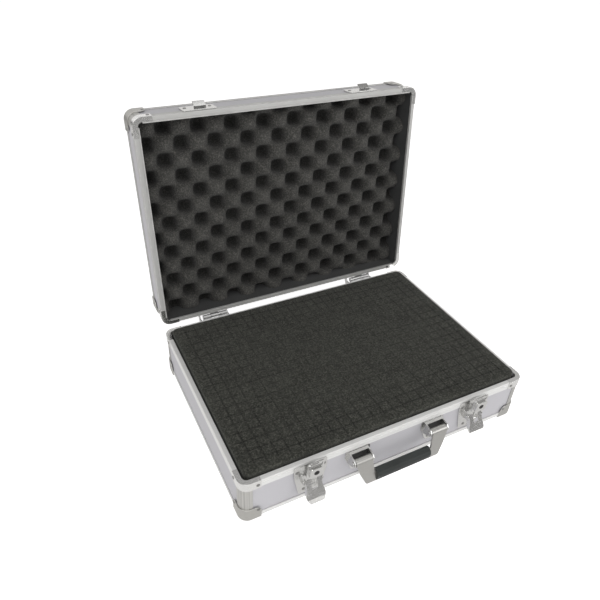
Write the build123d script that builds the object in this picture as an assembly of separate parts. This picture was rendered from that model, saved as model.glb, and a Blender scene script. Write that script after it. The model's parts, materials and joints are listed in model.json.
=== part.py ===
from build123d import *
import math
import os

# Aluminium tool case lying on its base with the lid open. Millimetres, +Z up, +X to the right
# along the front, -Y towards the user. The origin is the middle of the footprint, on the floor.

# Overall size
case_width = 425.0
case_depth = 303.0
base_height = 70.0
lid_height = 51.0
rim_gap = 1.4
lid_open_angle = 95.0

# Shell: boards held by aluminium edge extrusions
corner_radius = 12.0
frame_wall = 1.2
panel_thickness = 4.5
floor_thickness = 4.0
rim_band_height = 12.0
rim_web_thickness = 1.6
rim_groove_depth = 0.5
rim_groove_width = 1.2
rim_groove_drop = 4.0
foot_band_height = 8.0
foot_band_width = 10.0
foot_edge_radius = 2.6
post_reach = 14.5
tongue_gap = 0.2
tongue_thickness = 1.0
tongue_height = 2.5
field_rise = 0.3
field_clearance = 0.25

# Steel corners
cap_thickness = 1.4
cap_reach = 25.0
cap_height = 22.0
cap_lobe_radius = 9.0
cap_edge_radius = 3.2
bracket_thickness = 0.9
bracket_lip = 0.5
bracket_reach = 25.0
bracket_height = 12.5

# Lining and foam
lining_thickness = 1.0
lining_drop = 6.0
soft_clearance = 0.3
base_foam_inset = 8.0
base_foam_proud = 6.0
base_foam_radius = 9.0
pad_thickness = 8.0
egg_tip_depth = 14.0
egg_relief = 19.0
egg_pitch_x = 47.5
egg_pitch_y = 44.7
egg_turn = 3.0
egg_shift_x = 12.7
egg_shift_y = -10.0
egg_tip_share = 0.32

# Rivets
rivet_radius = 2.3
rivet_head = 0.8
rivet_facets = 8
rivet_slope = 45.0

# Hinges
hinge_spacing = 264.0
hinge_leaf_width = 46.0
hinge_leaf_thickness = 1.4
hinge_leaf_length = 26.0
hinge_axis_out = 4.9
hinge_axis_up = 1.8
hinge_knuckle_radius = 3.5
hinge_pin_radius = 1.5
hinge_knuckle_span = 38.0
hinge_knuckle_count = 3
running_clearance = 0.08
end_clearance = 0.3
stop_ear_thickness = 1.6
stop_ear_reach = 13.0
stop_clearance = 0.3

# Latches
latch_spacing = 248.0
latch_plate_thickness = 1.2
latch_plate_drop = 3.0
latch_plate_height = 52.0
latch_plate_straight = 17.0
latch_plate_wide = 44.0
latch_plate_narrow = 30.0
latch_pivot_out = 7.5
latch_pivot_drop = 26.5
latch_pin_radius = 1.5
latch_ear_radius = 3.6
latch_ear_thickness = 1.4
latch_ear_gap = 0.5
lever_width = 21.0
lever_flare = 25.4
lever_flare_from = 9.0
lever_tip_height = 9.0
lever_wall = 1.2
lever_face = 3.5
lever_back = 3.7
lever_above = 3.2
lever_below = 28.0
lever_slot_width = 8.0
lever_slot_depth = 13.6
lever_rest_angle = 25.0
claw_arm = 6.0
claw_over_centre = 10.0
claw_pin_radius = 1.2
claw_thickness = 1.6
claw_stem_width = 7.0
claw_width = 21.4
claw_shoulder_up = 10.5
claw_bar_out = 3.0
claw_bar_above = 8.3
claw_bar_rest_out = 12.3
claw_bar_height = 3.0
claw_window_height = 4.6
lock_block_width = 17.6
lock_block_height = 17.0
lock_block_proud = 4.5
lock_block_radius = 3.5
lock_up = 22.0
lock_radius = 3.4
lock_cam_length = 8.0
lock_cam_width = 4.5
lock_cam_thickness = 1.0
keyway_width = 1.2
keyway_length = 4.2
keyway_depth = 2.5

# Strikes on the lid
strike_plate_width = 46.0
strike_plate_height = 24.0
strike_plate_thickness = 1.2
strike_plate_drop = 3.4
strike_tab_width = 16.4
strike_shelf_up = 6.6
strike_shelf_out = 5.6
strike_lip_out = 10.5
strike_lip_rise = 6.2
strike_thickness = 1.2

# Handle
handle_arm_middle = 57.5
handle_arm_width = 23.4
handle_pivot_out = 13.0
handle_pivot_drop = 21.0
handle_pin_radius = 2.0
handle_eye_radius = 5.0
handle_drop = 35.5
handle_shoulder = 17.5
handle_shoulder_half = 63.7
handle_foot_half = 55.5
handle_foot_inner = 41.9
handle_foot_radius = 3.5
handle_strap = 2.2
handle_bar_top = 20.5
handle_rest_angle = 10.8
grip_top = 17.6
grip_ridge = 21.5
grip_brow = 27.0
grip_bottom = 33.6
grip_front = 5.2
grip_back = 5.2
grip_half_length = 41.2
grip_edge_radius = 1.4
grip_groove_count = 4
grip_groove_width = 0.6
grip_groove_depth = 0.6
hasp_width = 35.3
hasp_drop = 12.4
hasp_height = 37.6
hasp_straight = 11.1
hasp_narrow = 12.0
hasp_thickness = 1.4
hasp_hood_out = 4.6
hasp_hood_drop = 0.8
hasp_cheek_thickness = 1.6
hasp_cheek_gap = 0.7
hasp_cheek_beyond = 4.2
hasp_cheek_drop = 12.0
hasp_pin_head = 1.2
buffer_thickness = 3.2
buffer_height = 12.0

# Sizes that follow from those above
wall_inset = frame_wall + panel_thickness
frame_floor = cap_thickness
lid_rim = base_height + rim_gap
tongue_inset = wall_inset + tongue_gap + tongue_thickness
latch_x = latch_spacing / 2
hinge_x = hinge_spacing / 2
hinge_axis_y = case_depth / 2 + hinge_axis_out
hinge_axis_z = base_height + hinge_axis_up
hinge_axis = Axis((0, hinge_axis_y, hinge_axis_z), (1, 0, 0))
band_bottom = base_height - rim_band_height
latch_plate_top = base_height - latch_plate_drop
latch_plate_bottom = latch_plate_top - latch_plate_height
latch_plate_shoulder = latch_plate_top - latch_plate_straight
latch_pivot_up = base_height - latch_pivot_drop
claw_bar_up = lid_rim + claw_bar_above
handle_pivot_up = base_height - handle_pivot_drop
hasp_top = base_height - hasp_drop
hasp_bottom = hasp_top - hasp_height
hasp_shoulder = hasp_top - hasp_straight
hasp_cheek_low = handle_pivot_up - hasp_cheek_drop

# Working planes. On a wall, local x runs along it, local y is up and local z is outwards.
front_wall = Plane(origin=(0, -case_depth / 2, 0), x_dir=(1, 0, 0), z_dir=(0, -1, 0))
# Side views of the fittings: local x is outwards from the wall and local y is up.
front_side = Plane(origin=(0, -case_depth / 2, 0), x_dir=(0, -1, 0), z_dir=(-1, 0, 0))
back_side = Plane(origin=(0, case_depth / 2, 0), x_dir=(0, 1, 0), z_dir=(1, 0, 0))

pieces = {}


def keep(name, shapes):
    """Collect one node, as a group of separate solids where there are several."""
    if not isinstance(shapes, (list, tuple)):
        shapes = [shapes]
    solids = []
    for shape in shapes:
        solids.extend(shape.solids())
    pieces[name] = Compound(children=solids) if len(solids) > 1 else solids[0]
    pieces[name].label = name


def block(inset, low, high, radius=None):
    """A rounded slab of the case's outline, drawn in by inset."""
    if radius is None:
        radius = corner_radius - inset
    face = RectangleRounded(case_width - 2 * inset, case_depth - 2 * inset, radius)
    return Pos(0, 0, low) * extrude(face, high - low)


def ring(outer, inner, low, high):
    """A closed band between two insets of the outline."""
    return block(outer, low, high) - block(inner, low - 1, high + 1)


def box_between(low, high):
    """A box from its two opposite corners."""
    size = [b - a for a, b in zip(low, high)]
    middle = [(a + b) / 2 for a, b in zip(low, high)]
    return Pos(*middle) * Box(*size)


def on_side(plane, sketch, x_middle, width):
    """Extrude a side view along X, centred on x_middle."""
    return Pos(x_middle, 0, 0) * extrude(plane * sketch, width / 2, both=True)


def outline(points, radius=0.0):
    """A closed outline through points, with its corners rounded."""
    sketch = make_face(Polyline(*points, close=True))
    if radius:
        sketch = fillet(sketch.vertices(), radius)
    return sketch


def rivet():
    """A low set rivet head that stands on the local XY plane."""
    return extrude(RegularPolygon(rivet_radius, rivet_facets), rivet_head, taper=rivet_slope)


def corner_signs():
    return [(sx, sy) for sx in (-1, 1) for sy in (-1, 1)]


# One half of the shell, with its rim on z = 0 and its floor at the bottom
def wall_panels(depth):
    """The four boards between the corner posts, and the floor board they stand on."""
    floor_low = -depth + frame_floor + frame_wall
    floor_high = floor_low + floor_thickness
    top = -rim_web_thickness
    half_w = case_width / 2
    half_d = case_depth / 2
    panels = {}
    for name, sign in (("left", -1), ("right", 1)):
        outer = sign * (half_w - frame_wall)
        inner = sign * (half_w - wall_inset)
        panels[name] = box_between(
            (min(outer, inner), -half_d + corner_radius, floor_high),
            (max(outer, inner), half_d - corner_radius, top),
        )
    for name, sign in (("front", -1), ("back", 1)):
        outer = sign * (half_d - frame_wall)
        inner = sign * (half_d - wall_inset)
        panels[name] = box_between(
            (-half_w + corner_radius, min(outer, inner), floor_high),
            (half_w - corner_radius, max(outer, inner), top),
        )
    panels["floor"] = block(frame_wall, floor_low, floor_high) + floor_field(floor_low)
    return panels


def floor_field(level):
    """The floor board's outer face, pressed out between the rails' flanges and the ball corners."""
    inset = foot_band_width + field_clearance
    notch = cap_reach + field_clearance
    face = Rectangle(case_width - 2 * inset, case_depth - 2 * inset)
    for sx, sy in corner_signs():
        corner = Pos(sx * case_width / 2, sy * case_depth / 2)
        face -= corner * Rectangle(2 * notch, 2 * notch)
    return Pos(0, 0, level - field_rise) * extrude(face, field_rise)


def rail_sides():
    """The four sides of the case as side views, each with the length of the rail along it."""
    long_rail = case_width - 2 * corner_radius
    short_rail = case_depth - 2 * corner_radius
    sides = []
    for sign in (-1, 1):
        front = Plane(
            origin=(0, sign * case_depth / 2, 0), x_dir=(0, sign, 0), z_dir=(sign, 0, 0)
        )
        left = Plane(
            origin=(sign * case_width / 2, 0, 0), x_dir=(sign, 0, 0), z_dir=(0, -sign, 0)
        )
        sides.append((front, long_rail))
        sides.append((left, short_rail))
    return sides


def rails(profile):
    """Straight extrusions of one profile along the four sides, cut square at the corner posts."""
    return [extrude(plane * profile, length / 2, both=True) for plane, length in rail_sides()]


def rim_frame(with_tongue):
    """The rim extrusions: a grooved outer band, a flat ledge, and on the lid a tongue."""
    ledge = tongue_inset if with_tongue else wall_inset
    groove_top = -rim_groove_drop
    groove_low = groove_top - rim_groove_width
    profile = [
        (0, 0),
        (0, groove_top),
        (-rim_groove_depth, groove_top),
        (-rim_groove_depth, groove_low),
        (0, groove_low),
        (0, -rim_band_height),
        (-frame_wall, -rim_band_height),
        (-frame_wall, -rim_web_thickness),
        (-ledge, -rim_web_thickness),
    ]
    if with_tongue:
        shoulder = ledge - tongue_thickness
        profile += [(-ledge, tongue_height), (-shoulder, tongue_height), (-shoulder, 0)]
    else:
        profile += [(-ledge, 0)]
    return rails(outline(profile))


def foot_frame(depth):
    """The rounded angle extrusions along the floor's edges."""
    low = -depth + frame_floor
    profile = outline(
        [
            (0, low),
            (0, low + foot_band_height),
            (-frame_wall, low + foot_band_height),
            (-frame_wall, low + frame_wall),
            (-foot_band_width, low + frame_wall),
            (-foot_band_width, low),
        ]
    )
    corner = profile.vertices().sort_by(Axis.X)[-2:].sort_by(Axis.Y)[0]
    return rails(fillet(corner, foot_edge_radius))


def corner_region(sx, sy, reach_x, reach_y, low, high):
    """A box that holds one corner of the case out to the reach."""
    x_out = sx * (case_width / 2 + 5)
    x_in = sx * (case_width / 2 - reach_x)
    y_out = sy * (case_depth / 2 + 5)
    y_in = sy * (case_depth / 2 - reach_y)
    return box_between(
        (min(x_out, x_in), min(y_out, y_in), low), (max(x_out, x_in), max(y_out, y_in), high)
    )


def corner_posts(depth):
    """Corner extrusions that take the ends of the boards and rails, with a lip over each board."""
    foot = -depth + frame_floor
    board_top = foot + frame_wall + floor_thickness
    core = ring(frame_wall, wall_inset, board_top, 0)
    skin = ring(0, frame_wall, foot, 0)
    lip = ring(0, frame_wall, foot + foot_band_height, -rim_band_height)
    posts = []
    for sx, sy in corner_signs():
        square = corner_region(sx, sy, corner_radius, corner_radius, -depth, 1)
        reach = corner_region(sx, sy, post_reach, post_reach, -depth, 1)
        posts.append(((core + skin) & square) + (lip & reach))
    return posts


def cap_rivet_places(depth):
    """Where the rivets of a ball corner go: height, and distance from the case's corner."""
    return -depth + cap_height * 0.78, cap_reach * 0.84


def wall_locations(height, along):
    """Rivet places on both walls at each corner, facing outwards from the extrusion's face."""
    spots = {}
    for sx, sy in corner_signs():
        front_x = sx * (case_width / 2 - along)
        side_y = sy * (case_depth / 2 - along)
        facing_y = Plane(
            origin=(front_x, sy * case_depth / 2, height), x_dir=(1, 0, 0), z_dir=(0, sy, 0)
        )
        facing_x = Plane(
            origin=(sx * case_width / 2, side_y, height), x_dir=(0, 1, 0), z_dir=(sx, 0, 0)
        )
        spots[(sx, sy)] = [facing_y, facing_x]
    return spots


def corner_caps(depth):
    """Pressed steel ball corners over the outer corners, each with a lobe on three faces."""
    outer = Pos(0, 0, -depth) * extrude(
        RectangleRounded(
            case_width + 2 * cap_thickness,
            case_depth + 2 * cap_thickness,
            corner_radius + cap_thickness,
        ),
        cap_height,
    )
    outer = fillet(outer.faces().sort_by(Axis.Z)[0].edges(), cap_edge_radius)
    shell = outer - block(0, -depth + cap_thickness, -depth + cap_height + 1)
    caps = []
    for sx, sy in corner_signs():
        region = corner_region(sx, sy, cap_reach, cap_reach, -depth - 1, -depth + cap_height)
        far = (sx * (case_width / 2 - cap_reach), sy * (case_depth / 2 - cap_reach))
        rounded = [
            edge
            for edge in region.edges()
            if touches(edge, far, -depth + cap_height)
        ]
        region = fillet(rounded, cap_lobe_radius)
        caps.append(shell & region)
    return caps


def touches(edge, far, top):
    """True for the three edges of a corner box that meet at its innermost upper point."""
    def near(a, b):
        return abs(a - b) < 0.01

    ends = [edge @ 0, edge @ 1]
    return any(near(p.X, far[0]) and near(p.Y, far[1]) and near(p.Z, top) for p in ends)


def cap_rivets(depth):
    height, along = cap_rivet_places(depth)
    spots = wall_locations(height, along)
    return [
        spot * Pos(0, 0, cap_thickness) * rivet()
        for pair in spots.values()
        for spot in pair
    ]


def rim_brackets():
    """Bright corner brackets that wrap the rim: a skirt on both walls and a thin top lip."""
    skirt = ring(-bracket_thickness, 0, -bracket_height, bracket_lip)
    lip = ring(-bracket_thickness, wall_inset, 0, bracket_lip)
    brackets = []
    for sx, sy in corner_signs():
        region = corner_region(sx, sy, bracket_reach, bracket_reach, -20, 2)
        brackets.append((skirt + lip) & region)
    return brackets


def rim_rivets():
    height = -bracket_height * 0.55
    spots = wall_locations(height, bracket_reach * 0.84)
    return [
        spot * Pos(0, 0, bracket_thickness) * rivet()
        for pair in spots.values()
        for spot in pair
    ]


def lining(depth, drop):
    """The thin dark lining tray that covers the boards inside."""
    low = -depth + frame_floor + frame_wall + floor_thickness
    tray = block(wall_inset, low, -drop)
    return tray - block(wall_inset + lining_thickness, low + lining_thickness, 0)


def shell_half(depth, with_tongue, drop):
    """Every piece of one half of the shell, rim on z = 0."""
    parts = {f"{name}_panel": shape for name, shape in wall_panels(depth).items()}
    parts["rim_frame"] = rim_frame(with_tongue)
    parts["edge_frame"] = foot_frame(depth)
    parts["corner_posts"] = corner_posts(depth)
    parts["corner_caps"] = corner_caps(depth)
    parts["cap_rivets"] = cap_rivets(depth)
    parts["rim_brackets"] = rim_brackets()
    parts["rim_rivets"] = rim_rivets()
    parts["lining"] = lining(depth, drop)
    return parts


def each(shapes, move):
    """Apply one placement to a shape or to every shape of a list."""
    if isinstance(shapes, (list, tuple)):
        return [move(shape) for shape in shapes]
    return move(shapes)


# Foam
def base_foam():
    """The pluck-and-fit block, standing a little proud of the rim."""
    low = inner_floor(base_height) + pad_thickness + soft_clearance
    return block(
        base_foam_inset,
        base_height + low,
        base_height + base_foam_proud,
        base_foam_radius,
    )


def inner_floor(depth):
    """Height of the lining's floor below the rim, for a shell half of this depth."""
    return -depth + frame_floor + frame_wall + floor_thickness + lining_thickness + soft_clearance


def foam_pad():
    low = base_height + inner_floor(base_height)
    return block(wall_inset + lining_thickness + soft_clearance, low, low + pad_thickness)


def egg_places():
    """Centres of the staggered peaks, on a lattice laid a little askew over the whole lid."""
    turn = math.radians(egg_turn)
    half_w = case_width / 2 - wall_inset
    half_d = case_depth / 2 - wall_inset
    columns = math.ceil(case_width / egg_pitch_x) + 1
    rows = math.ceil(case_depth / egg_pitch_y) + 1
    places = []
    for i in range(-columns, columns + 1):
        for j in range(-rows, rows + 1):
            if (i + j) % 2:
                continue
            u = i * egg_pitch_x / 2
            v = j * egg_pitch_y / 2
            x = egg_shift_x + u * math.cos(turn) - v * math.sin(turn)
            y = egg_shift_y + u * math.sin(turn) + v * math.cos(turn)
            if abs(x) < half_w and abs(y) < half_d:
                places.append((x, y))
    return places


def lid_foam():
    """Convoluted foam: a slab with staggered blunt peaks, those at the walls cut off by them."""
    slab_low = inner_floor(lid_height)
    slab_high = -egg_tip_depth - egg_relief
    inset = wall_inset + lining_thickness + soft_clearance
    half_x = egg_pitch_x / 2
    half_y = egg_pitch_y / 2
    foot = outline([(half_x, 0), (0, half_y), (-half_x, 0), (0, -half_y)])
    narrowing = (1 - egg_tip_share) * half_x * half_y / math.hypot(half_x, half_y)
    slope = math.degrees(math.atan2(narrowing, egg_relief))
    peak = extrude(foot, egg_relief, taper=slope)
    lean = Rot(0, 0, egg_turn)
    peaks = [Pos(x, y, slab_high) * lean * peak for x, y in egg_places()]
    foam = block(inset, slab_low, slab_high) + peaks
    return foam & block(inset, slab_low, -egg_tip_depth)


# Hinges, in a side view with the back wall's face at local x = 0
def hinge_outline(lower):
    """The side view of a leaf's curl, for the leaf below or above the axis."""
    sign = -1 if lower else 1
    z = hinge_axis_z
    clear = hinge_knuckle_radius
    return outline(
        [
            (0, z + sign * (clear + 3.0)),
            (hinge_leaf_thickness, z + sign * (clear + 3.4)),
            (hinge_axis_out, z + sign * (clear - 0.1)),
            (hinge_axis_out - clear + 0.3, z + sign * 0.8),
            (0.4, z + sign * 2.4),
            (0, z + sign * 3.0),
        ]
    )


def knuckle_spans():
    """Middle and length of each knuckle along the pin."""
    pitch = hinge_knuckle_span / hinge_knuckle_count
    first = -hinge_knuckle_span / 2 + pitch / 2
    return [(first + i * pitch, pitch - end_clearance) for i in range(hinge_knuckle_count)]


def leaf_top_gap():
    """How far a leaf's edge stays from the axis so that the other half's knuckles turn past it."""
    return 2.3


def wall_leaf(x_middle, low, high, skirt_low, skirt_high, width):
    """A flat leaf on the extrusion's face, with a return to the sunken board beside it."""
    low_x = x_middle - width / 2
    high_x = x_middle + width / 2
    face = case_depth / 2
    leaf = box_between((low_x, face, low), (high_x, face + hinge_leaf_thickness, high))
    pad = box_between((low_x, face - frame_wall, skirt_low), (high_x, face, skirt_high))
    return leaf + pad


def hinge_rivet_planes(x_middle, heights):
    planes = []
    for height in heights:
        for dx in (-hinge_leaf_width / 3, 0, hinge_leaf_width / 3):
            planes.append(
                Plane(
                    origin=(x_middle + dx, case_depth / 2 + hinge_leaf_thickness, height),
                    x_dir=(1, 0, 0),
                    z_dir=(0, 1, 0),
                )
            )
    return planes


def leaf_rivet_heights():
    """Rivet rows on the base leaf and on the lid leaf."""
    base_row = band_bottom - (hinge_leaf_length - rim_band_height) / 2
    lid_row = lid_rim + rim_band_height + (hinge_leaf_length - rim_band_height) / 2
    return base_row, lid_row


def hinge_leaf(x_middle, lower):
    """A pressed leaf with its knuckles. The lower leaf also has the two stop ears."""
    axis_z = hinge_axis_z
    if lower:
        high = axis_z - leaf_top_gap()
        low = high - hinge_leaf_length
        leaf = wall_leaf(x_middle, low, high, low, band_bottom, hinge_leaf_width)
        knuckles = knuckle_spans()[0::2]
    else:
        low = axis_z + leaf_top_gap()
        high = low + hinge_leaf_length
        band_top = lid_rim + rim_band_height
        leaf = wall_leaf(x_middle, low, high, band_top, high, hinge_leaf_width)
        knuckles = knuckle_spans()[1::2]
    axle = Pos(hinge_axis_out, axis_z) * Circle(hinge_knuckle_radius)
    curl = hinge_outline(lower) + axle
    for middle, length in knuckles:
        leaf += on_side(back_side, curl, x_middle + middle, length)
    if lower:
        for sign in (-1, 1):
            ear_x = x_middle + sign * (hinge_leaf_width - stop_ear_thickness) / 2
            leaf += on_side(back_side, stop_ear_outline(), ear_x, stop_ear_thickness)
    bore_radius = hinge_pin_radius if lower else hinge_pin_radius + running_clearance
    bore = Pos(hinge_axis_out, axis_z) * Circle(bore_radius)
    leaf -= on_side(back_side, bore, x_middle, hinge_leaf_width + 10)
    return leaf


def stop_ear_outline():
    """The ear that the open lid's leaf comes to rest on."""
    lean = math.radians(lid_open_angle - 90)
    leaf_plane = hinge_axis_out - hinge_leaf_thickness
    x0 = hinge_axis_out
    z0 = hinge_axis_z

    def rest_height(dx):
        face = leaf_plane / math.cos(lean) - dx * math.tan(lean)
        return z0 + face - stop_clearance

    inner = hinge_axis_out + 0.5
    return outline(
        [
            (hinge_leaf_thickness - 0.4, z0 - 22),
            (hinge_leaf_thickness - 0.4, z0 - 3),
            (x0 + 3.0, z0 - 3),
            (x0 + inner, z0),
            (x0 + inner, rest_height(inner)),
            (x0 + stop_ear_reach, rest_height(stop_ear_reach)),
            (x0 + stop_ear_reach, z0),
            (x0 - 1.0, z0 - 22),
        ]
    )


def hinge_pin(x_middle):
    pin = Pos(hinge_axis_out, hinge_axis_z) * Circle(hinge_pin_radius)
    return on_side(back_side, pin, x_middle, hinge_knuckle_span)


def hinge_rivets(row):
    rivets = []
    for sign in (-1, 1):
        for plane in hinge_rivet_planes(sign * hinge_x, [row]):
            rivets.append(plane * rivet())
    return rivets


# Pressed plates on the front wall, shared by the latches and the handle
def tapered_outline(wide, narrow, top, shoulder, bottom, radius):
    return outline(
        [
            (-wide / 2, top),
            (wide / 2, top),
            (wide / 2, shoulder),
            (narrow / 2, bottom),
            (-narrow / 2, bottom),
            (-wide / 2, shoulder),
        ],
        radius,
    )


def plate_rivet_spots(wide, narrow, high, low):
    """Four rivet places on a tapered plate, in the wall's own x and height."""
    return [(-wide / 2, high), (wide / 2, high), (-narrow / 2, low), (narrow / 2, low)]


def latch_spots():
    high = latch_plate_top - 10.0
    low = latch_plate_bottom + 7.0
    return plate_rivet_spots(latch_plate_wide - 7.5, 16.0, high, low)


def hasp_spots():
    return plate_rivet_spots(12.0, 5.2, hasp_shoulder - 7.0, hasp_bottom + 6.0)


def latch_plate(x_middle):
    """The tapered base plate: on the rim band at the top, dished back to the board below it."""
    shape = tapered_outline(
        latch_plate_wide,
        latch_plate_narrow,
        latch_plate_top,
        latch_plate_shoulder,
        latch_plate_bottom,
        2.5,
    )
    plate = extrude(front_wall * shape, latch_plate_thickness)
    below_band = Pos(0, band_bottom / 2) * Rectangle(2 * latch_plate_wide, band_bottom)
    plate += extrude(front_wall * (shape & below_band), -frame_wall)
    ear = Pos(latch_pivot_out, latch_pivot_up) * Circle(latch_ear_radius)
    ear += outline(
        [
            (latch_plate_thickness - 0.2, latch_pivot_up - 7.5),
            (latch_pivot_out + 1.5, latch_pivot_up - 3.2),
            (latch_pivot_out + 1.5, latch_pivot_up + 3.2),
            (latch_plate_thickness - 0.2, latch_pivot_up + 7.5),
        ]
    )
    ear -= Pos(latch_pivot_out, latch_pivot_up) * Circle(latch_pin_radius)
    reach = lever_width / 2 + latch_ear_gap + latch_ear_thickness / 2
    for sign in (-1, 1):
        plate += on_side(front_side, ear, sign * reach, latch_ear_thickness)
    return Pos(x_middle, 0, 0) * plate


def latch_pivots(x_middle):
    """Two short shouldered pins, one in each ear, that leave the middle free for the claw."""
    ear_out = lever_width / 2 + latch_ear_gap + latch_ear_thickness
    inner = lever_width / 2 - lever_wall - 0.4
    pins = []
    for sign in (-1, 1):
        pin = on_side(
            front_side,
            Pos(latch_pivot_out, latch_pivot_up) * Circle(latch_pin_radius),
            sign * (inner + ear_out) / 2,
            ear_out - inner,
        )
        pin += on_side(
            front_side,
            Pos(latch_pivot_out, latch_pivot_up) * Circle(latch_pin_radius + 0.9),
            sign * (ear_out + 0.5),
            1.0,
        )
        pins.append(Pos(x_middle, 0, 0) * pin)
    return pins


def claw_pivot(angle):
    """The claw's pin, seen from the side, with the lever lifted by an angle from shut."""
    swing = math.radians(angle - claw_over_centre)
    return (
        latch_pivot_out + claw_arm * math.sin(swing),
        latch_pivot_up - claw_arm * math.cos(swing),
    )


def claw_lean_shut():
    """Lean of the shut claw, outwards positive, from its pin up to its bar."""
    out, up = claw_pivot(0)
    return math.degrees(math.atan2(claw_bar_out - out, claw_bar_up - up))


def claw_reach():
    out, up = claw_pivot(0)
    return math.hypot(claw_bar_out - out, claw_bar_up - up)


def claw_lean_rest():
    out, _ = claw_pivot(lever_rest_angle)
    return math.degrees(math.asin((claw_bar_rest_out - out) / claw_reach()))


def lever_to_rest(shape):
    """Swing a lever piece from shut to its resting lift."""
    pivot = Axis((0, -case_depth / 2 - latch_pivot_out, latch_pivot_up), (1, 0, 0))
    return shape.rotate(pivot, -lever_rest_angle)


def lever_front(inset):
    """The lever's outline from the front, drawn in by inset: straight cheeks, then a flared end."""
    up = latch_pivot_up
    half = lever_width / 2 - inset
    flare = lever_flare / 2 - inset
    tip = up - lever_below + lever_tip_height
    sides = outline(
        [
            (-half, up + lever_above + inset),
            (half, up + lever_above + inset),
            (half, up - lever_flare_from),
            (flare, tip),
            (-flare, tip),
            (-half, up - lever_flare_from),
        ]
    )
    end = Pos(0, tip) * Circle(flare)
    end &= Pos(0, tip) * Rectangle(2 * lever_flare, 2 * (lever_tip_height - inset))
    return extrude(front_wall * (sides + end), 40, both=True)


def latch_lever(x_middle):
    """A pressed channel: two cheeks, a forked face and a rounded finger lift."""
    out = latch_pivot_out
    up = latch_pivot_up
    face = out + lever_face
    side = outline(
        [
            (out - lever_back, up + 1.0),
            (out - lever_back + 1.6, up + lever_above),
            (face, up + lever_above),
            (face, up - lever_below + 5.0),
            (face + 1.6, up - lever_below),
            (face + 0.4, up - lever_below),
            (face - 2.2, up - lever_below + 4.0),
            (out - lever_back, up - 10.0),
        ]
    )
    lever = on_side(front_side, side, 0, lever_flare) & lever_front(0)
    hollow = outline(
        [
            (out - 12, up + 12),
            (face - lever_wall, up + 12),
            (face - lever_wall, up - lever_below + 5.4),
            (face - lever_wall + 1.0, up - lever_below + 1.6),
            (face - 4.2, up - lever_below + 1.6),
            (out - 12, up - lever_below),
        ]
    )
    lever -= on_side(front_side, hollow, 0, lever_flare) & lever_front(lever_wall)
    slot = Pos(0, up + lever_above - lever_slot_depth / 2 + 2) * RectangleRounded(
        lever_slot_width, lever_slot_depth + 4, 1.5
    )
    lever -= Pos(0, -6.0 - latch_pivot_out, 0) * extrude(front_wall * slot, 6, both=True)
    bore = Pos(out, up) * Circle(latch_pin_radius + running_clearance)
    lever -= on_side(front_side, bore, 0, lever_width + 4)
    eye = Pos(*claw_pivot(0)) * Circle(claw_pin_radius)
    lever -= on_side(front_side, eye, 0, lever_width + 4)
    return Pos(x_middle, 0, 0) * lever_to_rest(lever)


def claw_pin(x_middle):
    pin = Pos(*claw_pivot(0)) * Circle(claw_pin_radius)
    return Pos(x_middle, 0, 0) * lever_to_rest(on_side(front_side, pin, 0, lever_width))


def claw_frame():
    """The shut claw's own plane: origin at its pin, local y along it, local z outwards."""
    out, up = claw_pivot(0)
    lean = math.radians(claw_lean_shut())
    along = Vector(0, -math.sin(lean), math.cos(lean))
    normal = Vector(0, -math.cos(lean), -math.sin(lean))
    return Plane(
        origin=(0, -case_depth / 2 - out, up), x_dir=(1, 0, 0), z_dir=tuple(normal)
    ), along


def claw_to_rest(shape):
    """Move a piece of the shut claw to its resting lean on the lifted lever."""
    out, up = claw_pivot(0)
    out_rest, up_rest = claw_pivot(lever_rest_angle)
    pin = Axis((0, -case_depth / 2 - out, up), (1, 0, 0))
    turned = shape.rotate(pin, claw_lean_rest() - claw_lean_shut())
    return Pos(0, -(out_rest - out), up_rest - up) * turned


def latch_claw(x_middle):
    """The draw link: an eye on the pin, a stem through the fork, and a wide windowed head."""
    plane, _ = claw_frame()
    half = claw_thickness / 2
    top = claw_reach() + claw_bar_height / 2
    stem_top = claw_pivot_to_shoulder() + 2
    stem = Pos(0, stem_top / 2) * Rectangle(claw_stem_width, stem_top)
    head_low = claw_pivot_to_shoulder()
    head = Pos(0, (head_low + top) / 2) * RectangleRounded(claw_width, top - head_low, 2.5)
    sheet = extrude(plane * (stem + head), half, both=True)
    window_top = claw_reach() - claw_bar_height / 2
    window = Pos(0, window_top - claw_window_height / 2) * Rectangle(
        strike_tab_width + 1.0, claw_window_height
    )
    sheet -= extrude(plane * window, half + 1, both=True)
    eye = on_side(front_side, Pos(*claw_pivot(0)) * Circle(claw_pin_radius + 1.2), 0, claw_stem_width)
    claw = sheet + eye
    claw += extrude(plane * Pos(0, lock_up + claw_lock_base()) * lock_outline(), lock_block_proud)
    room = plane * Pos(0, claw_lock_base() + lock_up, 0) * Cylinder(
        lock_radius + running_clearance, 40
    )
    claw -= room
    bore = Pos(*claw_pivot(0)) * Circle(claw_pin_radius + running_clearance)
    claw -= on_side(front_side, bore, 0, lever_width)
    return Pos(x_middle, 0, 0) * claw_to_rest(claw)


def claw_pivot_to_shoulder():
    """Distance from the claw's pin to where its head starts."""
    return claw_arm + claw_shoulder_up


def claw_lock_base():
    """Distance from the claw's pin to the level of the lever's own pivot."""
    return claw_arm


def lock_outline():
    return RectangleRounded(lock_block_width, lock_block_height, lock_block_radius)


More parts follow.
